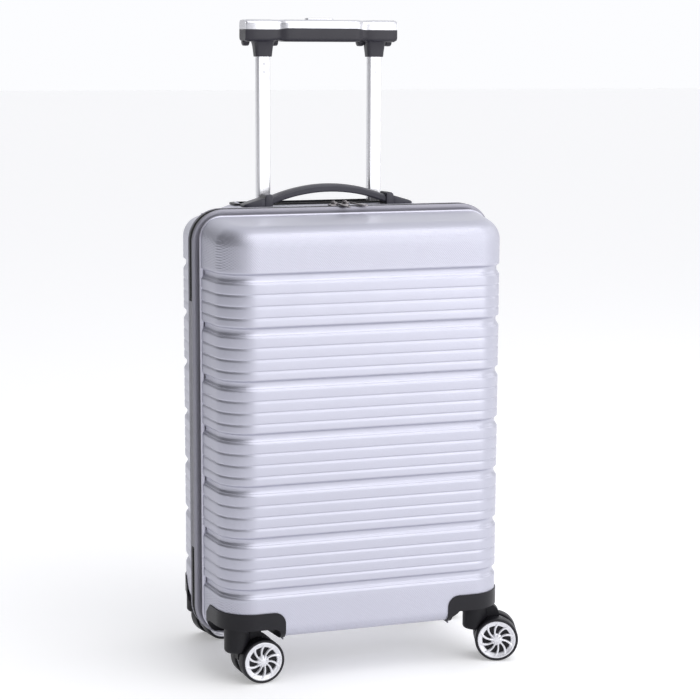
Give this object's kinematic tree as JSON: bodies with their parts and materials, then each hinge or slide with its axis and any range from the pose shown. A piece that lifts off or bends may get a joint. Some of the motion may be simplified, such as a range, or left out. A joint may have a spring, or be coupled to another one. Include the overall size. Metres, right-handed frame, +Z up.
{
  "type": "hard_shell_suitcase",
  "caption": "Silver grey hard shell cabin suitcase with a grooved two-part shell, zip, extended trolley handle, carry handle and swivelling twin-wheel casters.",
  "frame": {"origin": "middle of the whole object's footprint, on the floor", "axes": "+Z up, front lid faces -Y, +X to the right seen from the front"},
  "size_m": [0.3926, 0.2438, 0.7704],
  "materials": {
    "shell": "satin moulded plastic with a fine crosshatch",
    "frame_plastic": "matte",
    "piping": "satin",
    "zip_cloth": "woven zip tape",
    "hinge_cloth": "woven",
    "lining_cloth": "woven",
    "black_plastic": "fine grain",
    "tube": "satin anodised",
    "steel": "fine",
    "grip_plastic": "fine grain",
    "silver_plastic": "satin",
    "strap_rubber": "satin",
    "webbing": "woven",
    "nickel": "polished",
    "tyre": "smooth",
    "hub_plastic": "satin"
  },
  "bodies": {
    "case_back": {"back_shell": "shell", "back_edge_bead": "shell", "back_inner_frame": "frame_plastic", "back_piping": "piping", "zip_tape_back": "zip_cloth", "hinge_strip_back": "hinge_cloth", "lining_back": "lining_cloth", "wheel_housing_rear_left": "black_plastic", "wheel_housing_rear_right": "black_plastic", "handle_well": "black_plastic", "outer_tubes": "tube", "tube_bracket": "black_plastic", "carry_strap": "strap_rubber", "carry_cap_left": "strap_rubber", "carry_cap_right": "strap_rubber", "packing_straps": "webbing", "strap_buckle": "black_plastic"},
    "front_lid": {"front_shell": "shell", "front_edge_bead": "shell", "front_inner_frame": "frame_plastic", "front_piping": "piping", "zip_tape_front": "zip_cloth", "hinge_strip_front": "hinge_cloth", "lining_front": "lining_cloth", "wheel_housing_front_left": "black_plastic", "wheel_housing_front_right": "black_plastic"},
    "trolley_middle": {"middle_tubes": "tube", "middle_tube_collars": "black_plastic"},
    "trolley_grip": {"inner_tubes": "tube", "tube_rivets": "steel", "grip_body": "grip_plastic", "grip_cover": "silver_plastic"},
    "release": {"grip_button": "grip_plastic", "release_bridge": "black_plastic"},
    "slider_left": {"zip_slider_left": "nickel"},
    "pull_left": {"zip_pull_left": "nickel"},
    "slider_right": {"zip_slider_right": "nickel"},
    "pull_right": {"zip_pull_right": "nickel"},
    "caster_front_left": {"caster_fork_front_left": "black_plastic"},
    "wheel_front_left_a": {"tyre_front_left_a": "tyre", "hub_front_left_a": "hub_plastic"},
    "wheel_front_left_b": {"tyre_front_left_b": "tyre", "hub_front_left_b": "hub_plastic"},
    "caster_front_right": {"caster_fork_front_right": "black_plastic"},
    "wheel_front_right_a": {"tyre_front_right_a": "tyre", "hub_front_right_a": "hub_plastic"},
    "wheel_front_right_b": {"tyre_front_right_b": "tyre", "hub_front_right_b": "hub_plastic"},
    "caster_rear_left": {"caster_fork_rear_left": "black_plastic"},
    "wheel_rear_left_a": {"tyre_rear_left_a": "tyre", "hub_rear_left_a": "hub_plastic"},
    "wheel_rear_left_b": {"tyre_rear_left_b": "tyre", "hub_rear_left_b": "hub_plastic"},
    "caster_rear_right": {"caster_fork_rear_right": "black_plastic"},
    "wheel_rear_right_a": {"tyre_rear_right_a": "tyre", "hub_rear_right_a": "hub_plastic"},
    "wheel_rear_right_b": {"tyre_rear_right_b": "tyre", "hub_rear_right_b": "hub_plastic"}
  },
  "joints": [
    {"name": "lid_hinge", "type": "hinge", "parent": "case_back", "child": "front_lid", "pos_m": [-0.197, -0.0204, 0.296], "axis": [0, 0, -1], "range_deg": [0, 160]},
    {"name": "trolley_middle_slide", "type": "slide", "parent": "case_back", "child": "trolley_middle", "axis": [0, 0, 1], "range_m": [0, 0.2]},
    {"name": "trolley_grip_slide", "type": "slide", "parent": "trolley_middle", "child": "trolley_grip", "axis": [0, 0, 1], "range_m": [-0.22, 0]},
    {"name": "release_button", "type": "slide", "parent": "trolley_grip", "child": "release", "axis": [0, 0, 1], "range_m": [-0.0024, 0], "stiffness_N_per_m": 1200, "springref_m": 0.0012},
    {"name": "zip_slide_left", "type": "slide", "parent": "case_back", "child": "slider_left", "axis": [-1, 0, 0], "range_m": [0, 0.12]},
    {"name": "zip_pull_hinge_left", "type": "hinge", "parent": "slider_left", "child": "pull_left", "pos_m": [-0.0215, -0.0204, 0.5542], "axis": [-0.788, -0.6157, 0], "range_deg": [0, 100]},
    {"name": "zip_slide_right", "type": "slide", "parent": "case_back", "child": "slider_right", "axis": [1, 0, 0], "range_m": [0, 0.12]},
    {"name": "zip_pull_hinge_right", "type": "hinge", "parent": "slider_right", "child": "pull_right", "pos_m": [-0.0072, -0.0204, 0.5542], "axis": [-0.5, -0.866, 0], "range_deg": [0, 100]},
    {"name": "swivel_front_left", "type": "hinge", "parent": "front_lid", "child": "caster_front_left", "pos_m": [-0.1604, -0.0852, 0.06], "axis": [0, 0, 1], "continuous": true},
    {"name": "wheel_turn_front_left_a", "type": "hinge", "parent": "caster_front_left", "child": "wheel_front_left_a", "pos_m": [-0.13419, -0.0973, 0.0262], "axis": [-0.0698, 0.9976, 0], "continuous": true},
    {"name": "wheel_turn_front_left_b", "type": "hinge", "parent": "caster_front_left", "child": "wheel_front_left_b", "pos_m": [-0.13613, -0.06957, 0.0262], "axis": [-0.0698, 0.9976, 0], "continuous": true},
    {"name": "swivel_front_right", "type": "hinge", "parent": "front_lid", "child": "caster_front_right", "pos_m": [0.141, -0.0852, 0.06], "axis": [0, 0, 1], "continuous": true},
    {"name": "wheel_turn_front_right_a", "type": "hinge", "parent": "caster_front_right", "child": "wheel_front_right_a", "pos_m": [0.1604, -0.10658, 0.0262], "axis": [0.3256, 0.9455, 0], "continuous": true},
    {"name": "wheel_turn_front_right_b", "type": "hinge", "parent": "caster_front_right", "child": "wheel_front_right_b", "pos_m": [0.16945, -0.08029, 0.0262], "axis": [0.3256, 0.9455, 0], "continuous": true},
    {"name": "swivel_rear_left", "type": "hinge", "parent": "case_back", "child": "caster_rear_left", "pos_m": [-0.1604, 0.0906, 0.06], "axis": [0, 0, 1], "continuous": true},
    {"name": "wheel_turn_rear_left_a", "type": "hinge", "parent": "caster_rear_left", "child": "wheel_rear_left_a", "pos_m": [-0.13276, 0.08226, 0.0262], "axis": [-0.2079, 0.9781, 0], "continuous": true},
    {"name": "wheel_turn_rear_left_b", "type": "hinge", "parent": "caster_rear_left", "child": "wheel_rear_left_b", "pos_m": [-0.13854, 0.10946, 0.0262], "axis": [-0.2079, 0.9781, 0], "continuous": true},
    {"name": "swivel_rear_right", "type": "hinge", "parent": "case_back", "child": "caster_rear_right", "pos_m": [0.141, 0.0906, 0.06], "axis": [0, 0, 1], "continuous": true},
    {"name": "wheel_turn_rear_right_a", "type": "hinge", "parent": "caster_rear_right", "child": "wheel_rear_right_a", "pos_m": [0.16412, 0.07331, 0.0262], "axis": [0.1392, 0.9903, 0], "continuous": true},
    {"name": "wheel_turn_rear_right_b", "type": "hinge", "parent": "caster_rear_right", "child": "wheel_rear_right_b", "pos_m": [0.16799, 0.10084, 0.0262], "axis": [0.1392, 0.9903, 0], "continuous": true}
  ]
}
